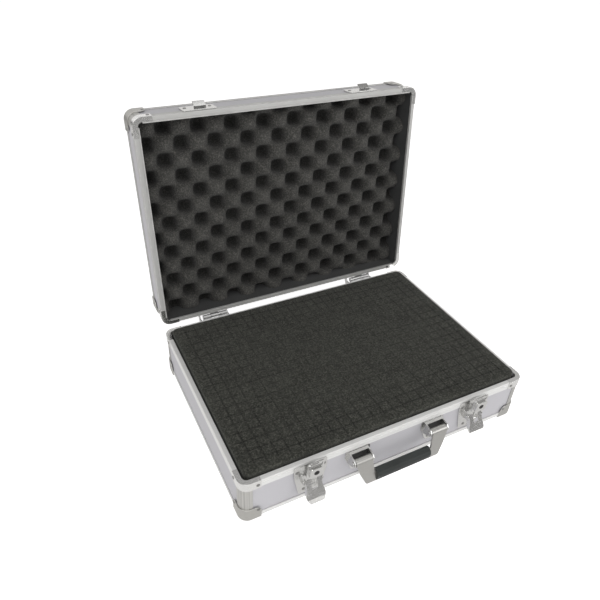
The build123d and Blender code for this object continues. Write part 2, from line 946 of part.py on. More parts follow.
def lock_barrel(x_middle):
    """The turning key barrel: a keyway in its face and a cam behind the claw."""
    plane, _ = claw_frame()
    face = lock_block_proud + 0.4
    back = -claw_thickness / 2 - lock_cam_thickness - 0.2
    barrel = Pos(0, 0, (face + back) / 2) * Cylinder(lock_radius, face - back)
    key = Pos(0, 0, face - keyway_depth / 2) * Box(keyway_width, keyway_length, keyway_depth + 0.01)
    cam = Pos(lock_cam_length / 2, 0, back + lock_cam_thickness / 2) * Box(
        lock_cam_length, lock_cam_width, lock_cam_thickness
    )
    piece = plane * Pos(0, claw_lock_base() + lock_up, 0) * (barrel - key + cam)
    return Pos(x_middle, 0, 0) * claw_to_rest(piece)


def latch_rivets():
    rivets = []
    for sign in (-1, 1):
        for x, z in latch_spots():
            place = Pos(sign * latch_x + x, z, latch_plate_thickness)
            rivets.append(front_wall * place * rivet())
    return rivets


# Strikes, drawn on the shut lid
def strike_side():
    """Side view of the catch: a shelf out from the plate and a lip flared up from it."""
    low = lid_rim + strike_shelf_up - strike_thickness
    knee = strike_shelf_out
    lip_top = low + strike_thickness + strike_lip_rise
    run = strike_lip_out - knee
    rise = lip_top - low - strike_thickness
    slope = math.hypot(run, rise)
    dx = strike_thickness * rise / slope
    dz = strike_thickness * run / slope
    return outline(
        [
            (strike_plate_thickness - 0.2, low),
            (knee, low),
            (strike_lip_out, lip_top - dz / 2),
            (strike_lip_out - dx, lip_top + dz / 2),
            (knee - dx / 2, low + strike_thickness),
            (strike_plate_thickness - 0.2, low + strike_thickness),
        ]
    )


def strike_spots():
    middle = lid_rim + strike_plate_drop + strike_plate_height * 0.62
    return [(-strike_plate_width / 2 + 6, middle), (strike_plate_width / 2 - 6, middle)]


def strike(x_middle):
    """The catch plate on the lid's front."""
    low = lid_rim + strike_plate_drop
    shape = Pos(0, low + strike_plate_height / 2) * RectangleRounded(
        strike_plate_width, strike_plate_height, 3.0
    )
    plate = extrude(front_wall * shape, strike_plate_thickness)
    band_top = lid_rim + rim_band_height
    beyond_band = Pos(0, band_top + lid_height / 2) * Rectangle(100, lid_height)
    plate += extrude(front_wall * (shape & beyond_band), -frame_wall)
    tab = on_side(front_side, strike_side(), 0, strike_tab_width)
    rounded = Pos(0, low + 9) * RectangleRounded(strike_tab_width, 22, 3.0)
    tab = tab & extrude(front_wall * rounded, 30)
    return Pos(x_middle, 0, 0) * (plate + tab)


def strike_rivets():
    rivets = []
    for sign in (-1, 1):
        for x, z in strike_spots():
            place = Pos(sign * latch_x + x, z, strike_plate_thickness)
            rivets.append(front_wall * place * rivet())
    return rivets


# Handle, drawn hanging straight down and then swung out to rest
def handle_to_rest(shape):
    pivot = Axis((0, -case_depth / 2 - handle_pivot_out, handle_pivot_up), (1, 0, 0))
    return shape.rotate(pivot, -handle_rest_angle)


def strap_middle():
    """How far the strap's middle lies outside the pin."""
    return handle_pivot_out + handle_eye_radius - handle_strap / 2


def handle_bail():
    """A flat steel bail: arms that taper to a crossbar, each with a rolled eye on its pin."""
    inner = handle_arm_middle - handle_arm_width / 2
    outer = handle_arm_middle + handle_arm_width / 2
    top = handle_pivot_up
    lean = (inner - handle_foot_inner) / handle_drop
    half = [
        (0, top - handle_bar_top),
        (inner - lean * handle_bar_top, top - handle_bar_top),
        (inner, top),
        (outer, top),
        (handle_shoulder_half, top - handle_shoulder),
        (handle_foot_half, top - handle_drop),
        (0, top - handle_drop),
    ]
    shape = outline(half)
    shape += mirror(shape, about=Plane.YZ)
    corners = [v for v in shape.vertices() if v.Y < top - handle_shoulder - 1 and abs(v.X) > 50]
    shape = fillet(corners, handle_foot_radius)
    middle = front_wall.offset(strap_middle())
    bail = extrude(middle * shape, handle_strap / 2, both=True)
    for sign in (-1, 1):
        eye = Pos(handle_pivot_out, handle_pivot_up) * Circle(handle_eye_radius)
        bail += on_side(front_side, eye, sign * handle_arm_middle, handle_arm_width)
    bore = Pos(handle_pivot_out, handle_pivot_up) * Circle(handle_pin_radius + running_clearance)
    bail -= on_side(front_side, bore, 0, 4 * handle_arm_middle)
    return handle_to_rest(bail)


def handle_grip():
    """The moulded grip on the crossbar: a sloping top, a ridge, and grooves along its face."""
    middle = strap_middle()
    top = handle_pivot_up
    front = middle + grip_front
    back = middle - grip_back
    foot = middle + 0.6 * grip_front
    shape = outline(
        [
            (back + 0.7, top - grip_top - 1.4),
            (middle - 1.0, top - grip_top),
            (front - 0.6, top - grip_ridge),
            (front, top - grip_brow),
            (foot, top - grip_bottom),
            (middle - 0.5 * grip_back, top - grip_bottom),
            (back, top - grip_brow - 2.0),
            (back, top - grip_ridge),
        ],
        grip_edge_radius,
    )
    grip = on_side(front_side, shape, 0, 2 * grip_half_length)
    run = front - foot
    fall = grip_bottom - grip_brow
    slope = math.degrees(math.atan2(run, fall))
    for i in range(grip_groove_count):
        share = (i + 0.5) / grip_groove_count
        spot = Pos(front - run * share, top - grip_brow - fall * share)
        groove = spot * Rot(0, 0, -slope) * Rectangle(2 * grip_groove_depth, grip_groove_width)
        grip -= on_side(front_side, groove, 0, 2 * grip_half_length - 6)
    bar = Pos(middle, top - handle_bar_top - 20) * Rectangle(handle_strap, 40)
    grip -= on_side(front_side, bar, 0, 2 * grip_half_length + 2)
    return handle_to_rest(grip)


def hasp_face():
    """How far the bracket's plate stands out from the wall's extrusion, being on the board."""
    return hasp_thickness - frame_wall


def cheek_reach():
    """Distance from an arm's middle to the middle of the cheek beside it."""
    return handle_arm_width / 2 + hasp_cheek_gap + hasp_cheek_thickness / 2


def handle_hasp(sign):
    """The handle's bracket: a tapered plate with a hood and two cheeks that hold the pin."""
    shape = tapered_outline(hasp_width, hasp_narrow, hasp_top, hasp_shoulder, hasp_bottom, 3.0)
    sunk = front_wall.offset(-frame_wall)
    plate = extrude(sunk * shape, hasp_thickness)
    root = hasp_face() - 0.2
    edge = handle_pivot_out + hasp_cheek_beyond
    crown = hasp_top - hasp_hood_drop
    cheek = outline(
        [
            (root, crown),
            (hasp_hood_out, crown),
            (handle_pivot_out + 1.0, handle_pivot_up + 5.6),
            (edge, handle_pivot_up + 2.4),
            (edge, handle_pivot_up - 2.4),
            (handle_pivot_out, handle_pivot_up - 5.6),
            (root, hasp_cheek_low),
        ]
    )
    cheek -= Pos(handle_pivot_out, handle_pivot_up) * Circle(handle_pin_radius)
    for side in (-1, 1):
        plate += on_side(front_side, cheek, side * cheek_reach(), hasp_cheek_thickness)
    hood = outline(
        [
            (root, crown - hasp_thickness),
            (hasp_hood_out, crown - hasp_thickness),
            (hasp_hood_out, crown),
            (root, crown),
        ]
    )
    plate += on_side(front_side, hood, 0, 2 * cheek_reach())
    return Pos(sign * handle_arm_middle, 0, 0) * plate


def handle_pins():
    """The hinge pins of the handle, each with a head on both cheeks."""
    reach = cheek_reach() + hasp_cheek_thickness / 2
    pins = []
    for sign in (-1, 1):
        pin = Pos(handle_pivot_out, handle_pivot_up) * Circle(handle_pin_radius)
        head = Pos(handle_pivot_out, handle_pivot_up) * Circle(handle_pin_radius + 1.0)
        piece = on_side(front_side, pin, 0, 2 * reach)
        for side in (-1, 1):
            middle = side * (reach + hasp_pin_head / 2)
            piece += on_side(front_side, head, middle, hasp_pin_head)
        pins.append(Pos(sign * handle_arm_middle, 0, 0) * piece)
    return pins


def hasp_rivets():
    """Rivets on the brackets' plates, behind the arms."""
    sunk = front_wall.offset(hasp_face())
    rivets = []
    for sign in (-1, 1):
        for x, z in hasp_spots():
            place = Pos(sign * handle_arm_middle + x, z, 0)
            rivets.append(sunk * place * rivet())
    return rivets


def handle_buffers():
    """Dark buffers under the brackets' hoods, behind the handle's eyes."""
    face = front_wall.offset(hasp_face())
    width = 2 * cheek_reach() - hasp_cheek_thickness - 2 * soft_clearance
    high = hasp_top - hasp_hood_drop - hasp_thickness - soft_clearance
    shape = Pos(0, high - buffer_height / 2) * Rectangle(width, buffer_height)
    pad = extrude(face * shape, buffer_thickness)
    return [Pos(sign * handle_arm_middle, 0, 0) * pad for sign in (-1, 1)]


def build():
    def stand(shape):
        return Pos(0, 0, base_height) * shape

    def swing_open(shape):
        return shape.rotate(hinge_axis, -lid_open_angle)

    def cover(shape):
        return swing_open(Pos(0, 0, lid_rim) * mirror(shape, about=Plane.XY))

    base = shell_half(base_height, False, lining_drop)
    for name, shapes in base.items():
        keep(f"base_{name}", each(shapes, stand))
    lid = shell_half(lid_height, True, rim_web_thickness)
    for name, shapes in lid.items():
        keep(f"lid_{name.replace('floor', 'top')}", each(shapes, cover))

    keep("base_foam_pad", foam_pad())
    keep("base_foam", base_foam())
    keep("lid_foam", cover(lid_foam()))

    sides = (("left", -1), ("right", 1))
    base_row, lid_row = leaf_rivet_heights()
    for side, sign in sides:
        keep(f"hinge_base_leaf_{side}", hinge_leaf(sign * hinge_x, True))
        keep(f"hinge_lid_leaf_{side}", swing_open(hinge_leaf(sign * hinge_x, False)))
    keep("hinge_pins", [hinge_pin(sign * hinge_x) for _, sign in sides])
    keep("hinge_base_rivets", hinge_rivets(base_row))
    keep("hinge_lid_rivets", each(hinge_rivets(lid_row), swing_open))

    for side, sign in sides:
        x = sign * latch_x
        keep(f"latch_plate_{side}", latch_plate(x))
        keep(f"latch_pivots_{side}", latch_pivots(x))
        keep(f"latch_lever_{side}", latch_lever(x))
        keep(f"claw_pin_{side}", claw_pin(x))
        keep(f"latch_claw_{side}", latch_claw(x))
        keep(f"lock_barrel_{side}", lock_barrel(x))
        keep(f"strike_{side}", swing_open(strike(x)))
    keep("latch_rivets", latch_rivets())
    keep("strike_rivets", each(strike_rivets(), swing_open))

    keep("handle_bail", handle_bail())
    keep("handle_grip", handle_grip())
    for side, sign in sides:
        keep(f"handle_hasp_{side}", handle_hasp(sign))
    keep("handle_pins", handle_pins())
    keep("handle_buffers", handle_buffers())
    keep("hasp_rivets", hasp_rivets())


def report_joints():
    """Print the places and ratios that the moving parts turn about."""
    out, up = claw_pivot(lever_rest_angle)
    lean_change = (claw_lean_rest() - claw_lean_shut()) / lever_rest_angle
    print("lid axis y, z", round(hinge_axis_y, 3), round(hinge_axis_z, 3))
    print("lever pivot y, z", -case_depth / 2 - latch_pivot_out, latch_pivot_up)
    print("claw pin y, z at rest", round(-case_depth / 2 - out, 4), round(up, 4))
    print("claw turn per lever turn", round(1 + lean_change, 5))
    print("handle pivot y, z", -case_depth / 2 - handle_pivot_out, handle_pivot_up)
    plane, _ = claw_frame()
    centre = plane * Pos(0, claw_lock_base() + lock_up, 0) * Cylinder(1, 2)
    rest = claw_to_rest(centre)
    axis = rest.faces().sort_by(Axis.Y)[0]
    print("lock axis through", rest.center(), "towards", axis.normal_at())


build()
os.makedirs("parts", exist_ok=True)
for name, shape in pieces.items():
    export_step(shape, f"parts/{name}.step")
report_joints()
print(len(pieces), "nodes")
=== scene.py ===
# %% [markdown]
# # An aluminium tool case with its lid open
#
# This lesson dresses a finished CAD model of a tool case for a product photograph. The metal parts
# come from CAD with sharp corners and no colours. Here they get small rounded edges and a finish for
# each metal. The foam inserts, which CAD only holds as plain blocks, are made again with their cuts
# and their peaks. We begin by loading the CAD model, because every piece made later is placed by it.

# %% Load the case
import json
import math

import bmesh
import bpy
from mathutils import Matrix, Vector, noise

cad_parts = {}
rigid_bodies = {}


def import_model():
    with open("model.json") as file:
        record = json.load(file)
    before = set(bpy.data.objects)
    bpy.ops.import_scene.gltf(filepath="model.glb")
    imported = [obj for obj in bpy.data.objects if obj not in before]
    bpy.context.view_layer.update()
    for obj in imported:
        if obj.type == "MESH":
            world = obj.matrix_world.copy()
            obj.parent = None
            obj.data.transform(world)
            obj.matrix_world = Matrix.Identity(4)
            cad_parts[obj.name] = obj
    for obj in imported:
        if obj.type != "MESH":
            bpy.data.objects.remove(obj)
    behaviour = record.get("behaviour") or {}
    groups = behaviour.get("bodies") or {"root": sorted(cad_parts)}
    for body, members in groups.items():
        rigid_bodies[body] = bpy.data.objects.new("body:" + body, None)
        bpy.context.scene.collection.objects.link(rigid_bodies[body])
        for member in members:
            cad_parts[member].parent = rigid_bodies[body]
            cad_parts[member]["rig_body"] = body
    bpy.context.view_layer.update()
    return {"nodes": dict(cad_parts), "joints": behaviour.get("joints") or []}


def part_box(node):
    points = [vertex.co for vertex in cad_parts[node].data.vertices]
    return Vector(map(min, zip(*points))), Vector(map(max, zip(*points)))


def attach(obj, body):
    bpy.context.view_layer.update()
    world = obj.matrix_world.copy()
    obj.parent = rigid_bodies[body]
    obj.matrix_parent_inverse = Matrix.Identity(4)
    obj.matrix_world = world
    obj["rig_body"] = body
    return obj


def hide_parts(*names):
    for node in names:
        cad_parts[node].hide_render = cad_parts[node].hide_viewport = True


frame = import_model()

nodes = frame["nodes"]
mm = 0.001
lid_opening = math.radians(95)

# %% [markdown]
# The camera stands to the left and well above the case, as a person does who has just opened it.
# A steep view like this shows both foams at once. The lens is a little wide and stands close, so the
# far side is clearly smaller than the near one. A camera could be aimed by a tracking constraint, but
# a constraint can't lean the picture by a few degrees, so the turn is worked out from three angles.

# %% Camera
def new_object(name, data):
    """Put data in the scene as an object of its own."""
    made = bpy.data.objects.new(name, data)
    bpy.context.scene.collection.objects.link(made)
    return made


def look(azimuth, elevation, roll):
    """The turn of a camera that looks at the case from an azimuth and an elevation, in degrees."""
    a, e, r = math.radians(azimuth), math.radians(elevation), math.radians(roll)
    back = Vector((math.sin(a) * math.cos(e), -math.cos(a) * math.cos(e), math.sin(e)))
    right = Vector((math.cos(a), math.sin(a), 0))
    up = back.cross(right)
    tilted_right = right * math.cos(r) + up * math.sin(r)
    tilted_up = up * math.cos(r) - right * math.sin(r)
    return Matrix((tilted_right, tilted_up, back)).transposed()


camera_data = bpy.data.cameras.new("camera")
camera_data.sensor_width = 36
camera_data.lens = 33.755
camera = new_object("camera", camera_data)
camera.matrix_world = look(azimuth=-28.4, elevation=35.88, roll=2.78).to_4x4()
camera.location = (-0.34553, -0.51511, 0.60876)
bpy.context.scene.camera = camera
print("camera at", tuple(round(v, 3) for v in camera.location))

# %% [markdown]
# A product shot has a pale floor and large soft lights. Small lights would leave hot dots on the
# plating, so each light is a wide panel. A key light stands to the left and a wide fill to the right
# of the case's front, and a weaker top light lifts the rim and the lower foam. The floor glows a
# little, so that it prints as white paper does. That glow would make every plated face white too, so
# the floor is hidden from reflections.

# %% Floor and lights
def new_material(name):
    """A material with nodes, which starts with a Principled shader."""
    made = bpy.data.materials.new(name)
    made.use_nodes = True
    return made


def area_light(name, stand, aim, width, height, watts):
    """A rectangular light that stands at one place and points at another."""
    data = bpy.data.lights.new(name, "AREA")
    data.shape = "RECTANGLE"
    data.size = width
    data.size_y = height
    data.energy = watts
    light = new_object(name, data)
    light.location = stand
    light.rotation_euler = (Vector(aim) - Vector(stand)).to_track_quat("-Z", "Y").to_euler()


floor_reach = 200
floor_shape = bmesh.new()
bmesh.ops.create_grid(floor_shape, x_segments=1, y_segments=1, size=floor_reach)
floor_mesh = bpy.data.meshes.new("floor")
floor_shape.to_mesh(floor_mesh)
floor_shape.free()
floor = new_object("floor", floor_mesh)
floor_paint = new_material("pale_floor")
floor_look = floor_paint.node_tree.nodes["Principled BSDF"]
floor_look.inputs["Base Color"].default_value = (0.93, 0.93, 0.93, 1)
floor_look.inputs["Roughness"].default_value = 0.9
floor_look.inputs["Specular IOR Level"].default_value = 0.1
floor_look.inputs["Emission Color"].default_value = (1, 1, 1, 1)
floor_look.inputs["Emission Strength"].default_value = 0.60
floor_mesh.materials.append(floor_paint)
floor.visible_glossy = False

area_light("key", stand=(-0.9, -1.5, 2.0), aim=(0, 0, 0.1), width=1.2, height=1.2, watts=18)
area_light("fill", stand=(1.5, -1.5, 1.0), aim=(0, 0, 0.1), width=1.6, height=1.0, watts=9)
area_light("top", stand=(0.1, -0.2, 2.0), aim=(0, 0, 0), width=1.5, height=1.2, watts=6)
bpy.context.scene.view_settings.view_transform = "Standard"

# %% [markdown]
# Most of what follows is wiring shader nodes. Each node could be added and linked by a line of its
# own, but one metal finish has about a dozen. Three helpers make it shorter: one adds a node with its
# fields and inputs, one starts a node group, and one places a group in a tree.

# %% Helpers that add nodes
def feed(tree, node, inputs):
    """Link or set a node's inputs, which are given by name or by number."""
    for key, value in inputs.items():
        if isinstance(value, bpy.types.NodeSocket):
            tree.links.new(value, node.inputs[key])
        else:
            node.inputs[key].default_value = value


def add(tree, kind, inputs=None, **fields):
    """Add a node, set its fields, then feed its inputs."""
    node = tree.nodes.new(kind)
    for field, value in fields.items():
        setattr(node, field, value)
    feed(tree, node, inputs or {})
    return node


def group(name, inputs, outputs):
    """An empty node group, with its group input and group output nodes."""
    tree = bpy.data.node_groups.new(name, "ShaderNodeTree")
    for label, kind, value in inputs:
        socket = tree.interface.new_socket(label, in_out="INPUT", socket_type=kind)
        socket.default_value = value
    for label, kind in outputs:
        tree.interface.new_socket(label, in_out="OUTPUT", socket_type=kind)
    return tree, tree.nodes.new("NodeGroupInput"), tree.nodes.new("NodeGroupOutput")


def use(tree, name, **inputs):
    """Place a node group in a tree with its own values."""
    node = tree.nodes.new("ShaderNodeGroup")
    node.node_tree = bpy.data.node_groups[name]
    feed(tree, node, {key.replace("_", " "): value for key, value in inputs.items()})
    return node


print("helpers ready")

# %% [markdown]
# Some steps come back in every finish: a little arithmetic, a value mapped to another range, a colour
# made lighter or darker, one colour that gives way to another, and a relief. Each is a function that
# adds its node and returns the socket to link on. Most of a noise lies between 0.3 and 0.7, so that
# is the part which spread maps.

# %% Steps that every finish uses
noise_low = 0.3
noise_high = 0.7


def maths(tree, operation, *values, clamped=False):
    """The result of a math node on its values in order."""
    node = add(tree, "ShaderNodeMath", dict(enumerate(values)), operation=operation, use_clamp=clamped)
    return node.outputs["Value"]


def mapped(tree, value, start, end, low=0.0, high=1.0):
    """A value mapped so that the range from start to end becomes low to high."""
    inputs = {"Value": value, "From Min": start, "From Max": end, "To Min": low, "To Max": high}
    return add(tree, "ShaderNodeMapRange", inputs).outputs["Result"]


def spread(tree, value, low, high):
    """A noise mapped so that its middle part runs from low to high."""
    return mapped(tree, value, noise_low, noise_high, low, high)


def product(tree, first, second):
    """Two colours or places multiplied, red by red or x by x."""
    node = add(tree, "ShaderNodeVectorMath", {0: first, 1: second}, operation="MULTIPLY")
    return node.outputs["Vector"]


def blended(tree, share, first, second):
    """A colour socket that gives way to a second colour where a share is high."""
    first_colour, second_colour, result = 6, 7, 2
    inputs = {"Factor": share, first_colour: first, second_colour: (*second, 1)}
    return add(tree, "ShaderNodeMix", inputs, data_type="RGBA").outputs[result]


def relief(tree, height, depth):
    """The normal of a surface whose relief follows a height socket."""
    node = add(tree, "ShaderNodeBump", {"Height": height, "Strength": 1.0, "Distance": depth})
    return node.outputs["Normal"]


print("steps ready")

# %% [markdown]
# A plated part shows the room that it stands in, so the room is not one even grey. It is light
# below, where the floor would be, nearly black in a narrow band just under the horizon, light again
# where the walls would be, and greyer overhead. The steps between these bands are what the eye
# reads as polished metal. A photographed room could do the same, but a ramp of a few greys is enough
# and can be tuned. The floor hides the dark band from the camera.

# %% The room around the case
room = bpy.data.worlds.new("room")
bpy.context.scene.world = room
room.use_nodes = True
sky = room.node_tree
direction = add(sky, "ShaderNodeTexCoord").outputs["Generated"]
height = add(sky, "ShaderNodeSeparateXYZ", {"Vector": direction}).outputs["Z"]
bands = add(sky, "ShaderNodeValToRGB", {"Fac": mapped(sky, height, start=-1.0, end=1.0)})
stops = bands.color_ramp.elements
# Each level is a place, from 0 straight down to 1 straight up, and a brightness.
levels = [
    (0.0, 0.84),
    (0.30, 0.68),
    (0.41, 0.42),
    (0.44, 0.05),
    (0.48, 0.05),
    (0.50, 0.95),
    (0.66, 0.74),
    (0.82, 0.44),
    (1.0, 0.26),
]
warm_green = 0.985
warm_blue = 0.97
while len(stops) < len(levels):
    stops.new(0.5)
for stop, (position, level) in zip(stops, levels):
    stop.position = position
    stop.color = (level, level * warm_green, level * warm_blue, 1)
feed(sky, sky.nodes["Background"], {"Color": bands.outputs["Color"]})
print("room:", room.name, "with", len(stops), "bands")

# %% [markdown]
# Several finishes share the same small effects, so each effect is a node group with named sockets.
# The first is grain: a noise that is stretched in one direction, as a drawn or brushed surface is.
# The Turn input lays the grain along parts of the lid, which stands tilted in its rest pose.

# %% Grain
grain, grain_in, grain_out = group(
    "grain",
    [("Stretch", "NodeSocketVector", (1, 1, 1)), ("Turn", "NodeSocketVector", (0, 0, 0))],
    [("Value", "NodeSocketFloat")],
)
spot = add(grain, "ShaderNodeTexCoord").outputs["Object"]
turned = add(
    grain,
    "ShaderNodeVectorRotate",
    {"Vector": spot, "Rotation": grain_in.outputs["Turn"]},
    rotation_type="EULER_XYZ",
)
stretched = product(grain, turned.outputs["Vector"], grain_in.outputs["Stretch"])
fibres = add(
    grain,
    "ShaderNodeTexNoise",
    {"Vector": stretched, "Scale": 1.0, "Detail": 5.0, "Roughness": 0.6},
)
feed(grain, grain_out, {"Value": fibres.outputs["Fac"]})
print("group", grain.name)

# %% [markdown]
# The second effect is handling. A case is carried and wiped, so its metal has cloudy areas and fine
# hairline scratches that run every way. The scratches come from two very thin, long noises that
# cross each other, and only their peaks are kept.

# %% Handling marks
marks, marks_in, marks_out = group(
    "handling_marks",
    [("Cloud size", "NodeSocketFloat", 0.05), ("Scratch width", "NodeSocketFloat", 0.0002)],
    [("Cloud", "NodeSocketFloat"), ("Scratch", "NodeSocketFloat")],
)
spot = add(marks, "ShaderNodeTexCoord").outputs["Object"]
clouds_per_metre = maths(marks, "DIVIDE", 1.0, marks_in.outputs["Cloud size"])
cloud = add(
    marks,
    "ShaderNodeTexNoise",
    {"Vector": spot, "Scale": clouds_per_metre, "Detail": 3.0, "Roughness": 0.55},
)
scratches_per_metre = maths(marks, "DIVIDE", 1.0, marks_in.outputs["Scratch width"])
# Each lay of the scratches is a turn, in radians, and a stretch.
lays = [((0.4, 0.9, 0.5), (0.02, 1, 1)), ((1.9, 0.3, 2.2), (1, 0.03, 1))]
peaks = []
for turn, stretch in lays:
    laid = add(
        marks,
        "ShaderNodeVectorRotate",
        {"Vector": spot, "Rotation": turn},
        rotation_type="EULER_XYZ",
    )
    thin = product(marks, laid.outputs["Vector"], stretch)
    line = add(
        marks,
        "ShaderNodeTexNoise",
        {"Vector": thin, "Scale": scratches_per_metre, "Detail": 0.0},
    )
    peaks.append(mapped(marks, line.outputs["Fac"], start=0.72, end=0.80))
feed(
    marks,
    marks_out,
    {"Cloud": cloud.outputs["Fac"], "Scratch": maths(marks, "MAXIMUM", *peaks)},
)
print("group", marks.name)

# %% [markdown]
# The third effect is wear. Plating rubs thin where two faces meet, and a rounded edge catches the
# light. Every softened piece made below carries an attribute named edge, which is 1 on the faces of
# its rounded edges and 0 elsewhere. The attribute is held by faces, because one that is held by
# points would spread over the long flat faces beside them. The group breaks the band up with noise.

# %% Edge wear
wear, wear_in, wear_out = group(
    "edge_wear", [("Amount", "NodeSocketFloat", 0.5)], [("Mask", "NodeSocketFloat")]
)
band = add(wear, "ShaderNodeAttribute", attribute_name="edge").outputs["Fac"]
spot = add(wear, "ShaderNodeTexCoord").outputs["Object"]
patches = add(wear, "ShaderNodeTexNoise", {"Vector": spot, "Scale": 140.0, "Detail": 4.0})
broken = mapped(wear, patches.outputs["Fac"], start=0.35, end=0.62)
worn_band = maths(wear, "MULTIPLY", band, broken)
feed(wear, wear_out, {"Mask": maths(wear, "MULTIPLY", worn_band, wear_in.outputs["Amount"])})
print("group", wear.name)

# %% [markdown]
# All the metals are one recipe with different values: a base colour, how rough it is, how strong the
# grain is and which way it runs, and how far the edges are worn. Each metal could be a material built
# by itself, but they would drift apart when one is changed. The recipe keeps the Principled shader in
# the material itself, and the groups only feed its colour, roughness and bump.

# %% The metal recipe
scratch_rough = 0.1


def metal(
    name,
    colour,
    rough,
    stretch,
    metallic=1.0,
    turn=(0, 0, 0),
    grain_rough=0.1,
    grain_height=0.00002,
    grain_shade=0.06,
    cloud=0.08,
    worn=0.5,
    worn_colour=(0.9, 0.9, 0.88),
):
    """A metal finish, with its grain, its handling marks and its worn edges."""
    made = new_material(name)
    tree = made.node_tree
    lines = use(tree, "grain", Stretch=stretch, Turn=turn).outputs["Value"]
    handled = use(tree, "handling_marks", Cloud_size=0.06, Scratch_width=0.00022)
    edges = use(tree, "edge_wear", Amount=worn)
    tone = spread(tree, lines, 1 - grain_shade, 1 + grain_shade)
    rubbed = blended(tree, edges.outputs["Mask"], product(tree, colour, tone), worn_colour)
    drawn = spread(tree, lines, rough - grain_rough / 2, rough + grain_rough / 2)
    clouded = maths(tree, "MULTIPLY_ADD", handled.outputs["Cloud"], cloud, drawn)
    scratch = handled.outputs["Scratch"]
    scored = maths(tree, "MULTIPLY_ADD", scratch, scratch_rough, clouded, clamped=True)
    look_of_it = {
        "Base Color": rubbed,
        "Metallic": metallic,
        "Roughness": scored,
        "Normal": relief(tree, lines, grain_height),
    }
    feed(tree, tree.nodes["Principled BSDF"], look_of_it)
    return made


print("recipe ready")

# %% [markdown]
# The case's own finishes follow. The boards are pale satin sheet. The extrusions are anodised, with
# drawn lines along their length, and so are the corner posts, where the lines run upwards. The ball
# corners and the handle's bail are a warmer satin plate. The latch plates, claws, strikes and handle
# brackets are bright plate. The rim brackets and latch levers take a lighter, slightly rougher copy of
# it, painted light that makes them read brighter. The key barrels are painted near black, as the
# shade of a keyhole, and the rivets and hinges are plain steel. A stretch says how many grains lie
# along a metre in x, y and z, so a small number draws them out into lines. Rails and posts of the lid
# have their lines turned by the lid's opening, and the lid's rails are painted darker than the base's,
# as shade.

# %% Metal finishes
along_rails = (4, 4, 2600)
along_posts = (700, 700, 5)
lid_turn = (lid_opening, 0, 0)
warm_satin = (0.56, 0.555, 0.535)
finishes = {
    "sheet": metal(
        "sheet", (0.485, 0.48, 0.505), 0.50, metallic=0.2, stretch=(900, 900, 900),
        grain_rough=0.12, grain_height=0.000015, grain_shade=0.03, cloud=0.1, worn=0.2,
    ),
    "rail": metal(
        "rail", (0.68, 0.68, 0.67), 0.45, metallic=0.15, stretch=along_rails, grain_shade=0.08
    ),
    # Painted shade: the lid's rails are a darker copy of the base's rail colour.
    "lid_shaded_rail": metal(
        "lid_shaded_rail", (0.47, 0.47, 0.46), 0.43, metallic=0.4, stretch=along_rails, turn=lid_turn,
        grain_shade=0.08,
    ),
    "post": metal(
        "post", warm_satin, 0.40, metallic=0.8, stretch=along_posts, grain_shade=0.22
    ),
    "lid_post": metal(
        "lid_post", warm_satin, 0.40, metallic=0.8, stretch=along_posts, turn=lid_turn,
        grain_shade=0.22,
    ),
    "ball_corner": metal(
        "ball_corner", (0.57, 0.565, 0.54), 0.36, stretch=(300, 300, 300), grain_shade=0.05,
    ),
    "bright_plate": metal(
        "bright_plate", (0.66, 0.66, 0.65), 0.13, stretch=(160, 160, 160), grain_rough=0.05,
        grain_shade=0.02, cloud=0.1,
    ),
    # Painted light: a lighter copy of bright_plate for the rim brackets and latch levers.
    "lit_copy_of_bright_plate": metal(
        "lit_copy_of_bright_plate", (0.88, 0.88, 0.87), 0.18, stretch=(160, 160, 160), grain_rough=0.05,
        grain_shade=0.02, cloud=0.1,
    ),
    # Painted shade: the key barrels are near black, as the shade of a keyhole, with lighter worn
    # edges.
    "keyhole_shade_barrel": metal(
        "keyhole_shade_barrel", (0.045, 0.045, 0.045), 0.35, stretch=(500, 500, 500), worn=0.2,
        worn_colour=(0.3, 0.3, 0.3),
    ),
    "satin_plate": metal(
        "satin_plate", warm_satin, 0.33, stretch=(700, 90, 700), grain_shade=0.05
    ),
    "rivet_steel": metal(
        "rivet_steel", (0.34, 0.34, 0.33), 0.28, stretch=(500, 500, 500), grain_shade=0.08
    ),
    "hinge_steel": metal(
        "hinge_steel", (0.55, 0.55, 0.55), 0.30, stretch=(900, 60, 60), grain_shade=0.06
    ),
}
print(len(finishes), "metal finishes")

# %% [markdown]
# The dark parts are not metal. The lining is a thin flocked sheet, the grip is moulded plastic with a
# fine leather-like grain, and the buffers are plain rubber. One recipe serves all three. The grain
# could come from a picture of leather, but a cell pattern has no seams and needs no picture.

# %% Dark plastics and rubber
mottle = 0.25
cloud_rough = 0.2


def moulded(name, colour, rough, grain_size, grain_depth, sheen=0.0):
    """A dark finish with a pebbled grain, in which handling has left a slight mottle."""
    made = new_material(name)
    tree = made.node_tree
    spot = add(tree, "ShaderNodeTexCoord").outputs["Object"]
    pebbles = add(tree, "ShaderNodeTexVoronoi", {"Vector": spot, "Scale": 1 / grain_size})
    handled = use(tree, "handling_marks", Cloud_size=0.03, Scratch_width=0.0003).outputs["Cloud"]
    tone = spread(tree, handled, 1 - mottle, 1 + mottle)
    dulled = maths(
        tree, "MULTIPLY_ADD", handled, cloud_rough, rough - cloud_rough / 2, clamped=True
    )
    look_of_it = {
        "Base Color": product(tree, colour, tone),
        "Roughness": dulled,
        "Sheen Weight": sheen,
        "Normal": relief(tree, pebbles.outputs["Distance"], grain_depth),
    }
    feed(tree, tree.nodes["Principled BSDF"], look_of_it)
    return made


finishes["lining"] = moulded(
    "lining", (0.012, 0.013, 0.013), 0.8, grain_size=0.0006, grain_depth=0.00006, sheen=0.2
)
finishes["grip_plastic"] = moulded(
    "grip_plastic", (0.020, 0.024, 0.023), 0.40, grain_size=0.0007, grain_depth=0.00005
)
finishes["rubber"] = moulded(
    "rubber", (0.015, 0.015, 0.015), 0.6, grain_size=0.0005, grain_depth=0.00003
)
print("dark finishes:", ["lining", "grip_plastic", "rubber"])

